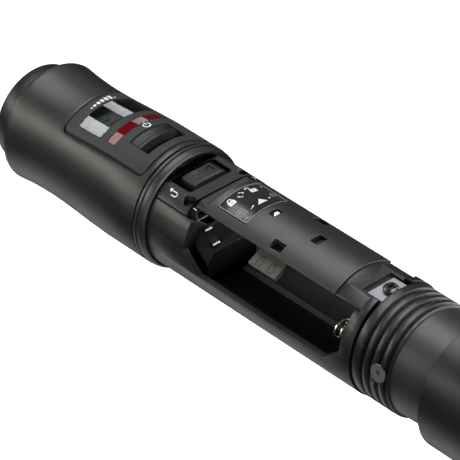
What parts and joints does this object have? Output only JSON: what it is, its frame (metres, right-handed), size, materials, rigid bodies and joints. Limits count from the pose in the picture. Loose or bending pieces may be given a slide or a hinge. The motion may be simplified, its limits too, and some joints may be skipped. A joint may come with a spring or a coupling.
{
  "type": "handheld wireless microphone transmitter",
  "caption": "Round handheld microphone transmitter body with a flared display housing, an open battery bay, a threaded tail, an antenna cover and a sliding battery sleeve.",
  "frame": {"origin": "centre of the face that the microphone capsule seats on, on the axis of the handle", "axes": "+X along the handle from the capsule end to the antenna end, +Z out of the display, the battery bay opens towards -Y and +Y"},
  "size_m": [0.2764, 0.038, 0.038],
  "materials": {
    "housing_metal": "satin baked coat",
    "bezel": "satin slate coat",
    "lens": "clear gloss",
    "display": "dull display film",
    "red_strip": "translucent gloss",
    "black_plastic": "fine grain",
    "grey_plastic": "fine grain",
    "frame_metal": "satin coat on a casting",
    "sleeve_metal": "satin baked coat",
    "seal": "matt",
    "board": "solder mask",
    "gold": "gold flash",
    "nickel": "bright nickel",
    "bright_plate": "bright tinned",
    "screw_steel": "blackened",
    "stamped_steel": "plain",
    "label": "printed film",
    "olive": "fine grain",
    "former": "plain",
    "copper": "copper"
  },
  "bodies": {
    "handle": {"upper_housing": "housing_metal", "display_bezel": "bezel", "display_window": "lens", "lcd_module": "display", "ir_window": "red_strip", "switch_body": "stamped_steel", "display_board": "board", "housing_carrier": "black_plastic", "collar_ring": "housing_metal", "collar_gasket": "seal", "capsule_socket": "black_plastic", "capsule_board": "board", "contact_rings": "gold", "chassis_frame": "frame_metal", "chassis_spine": "black_plastic", "control_deck": "grey_plastic", "deck_screws": "screw_steel", "deck_clip": "stamped_steel", "nav_switch_base": "grey_plastic", "key_gasket": "seal", "label_shell": "grey_plastic", "icon_label": "label", "aa_hinge_pin": "screw_steel", "bay_floor": "black_plastic", "bay_rail": "olive", "contact_block": "black_plastic", "spring_plate": "black_plastic", "cell_springs": "nickel", "main_board": "board", "shield_can": "stamped_steel", "ground_plate": "bright_plate", "ground_screw": "screw_steel", "tail_collar": "frame_metal", "tail_screws": "screw_steel", "antenna_cap": "black_plastic", "antenna_core": "former", "antenna_element": "copper"},
    "power_switch": {"power_slider": "black_plastic"},
    "key_rocker": {"nav_gimbal": "stamped_steel"},
    "key": {"nav_cap": "grey_plastic"},
    "pack_contacts": {"pack_contacts": "gold"},
    "flap": {"aa_flap": "olive"},
    "sleeve": {"battery_sleeve": "sleeve_metal", "sleeve_insert": "sleeve_metal"}
  },
  "joints": [
    {"name": "sleeve_slide", "type": "slide", "parent": "handle", "child": "sleeve", "axis": [1, 0, 0], "range_m": [-0.11, 0]},
    {"name": "power_slide", "type": "slide", "parent": "handle", "child": "power_switch", "axis": [1, 0, 0], "range_m": [0, 0.0022]},
    {"name": "key_up_down", "type": "hinge", "parent": "handle", "child": "key_rocker", "pos_m": [0.0664, 0, 0.0096], "axis": [0, 1, 0], "range_deg": [-3.5, 3.5], "stiffness_Nm_per_rad": 0.05},
    {"name": "key_left_right", "type": "hinge", "parent": "key_rocker", "child": "key", "pos_m": [0.0664, 0, 0.0106], "axis": [1, 0, 0], "range_deg": [-4, 4], "stiffness_Nm_per_rad": 0.05},
    {"name": "contact_press", "type": "slide", "parent": "handle", "child": "pack_contacts", "axis": [-0.7071, 0, -0.7071], "range_m": [0, 0.0006], "stiffness_N_per_m": 600},
    {"name": "flap_swing", "type": "hinge", "parent": "handle", "child": "flap", "pos_m": [0.1, -0.0081, 0.0108], "axis": [1, 0, 0], "range_deg": [0, 48]}
  ]
}
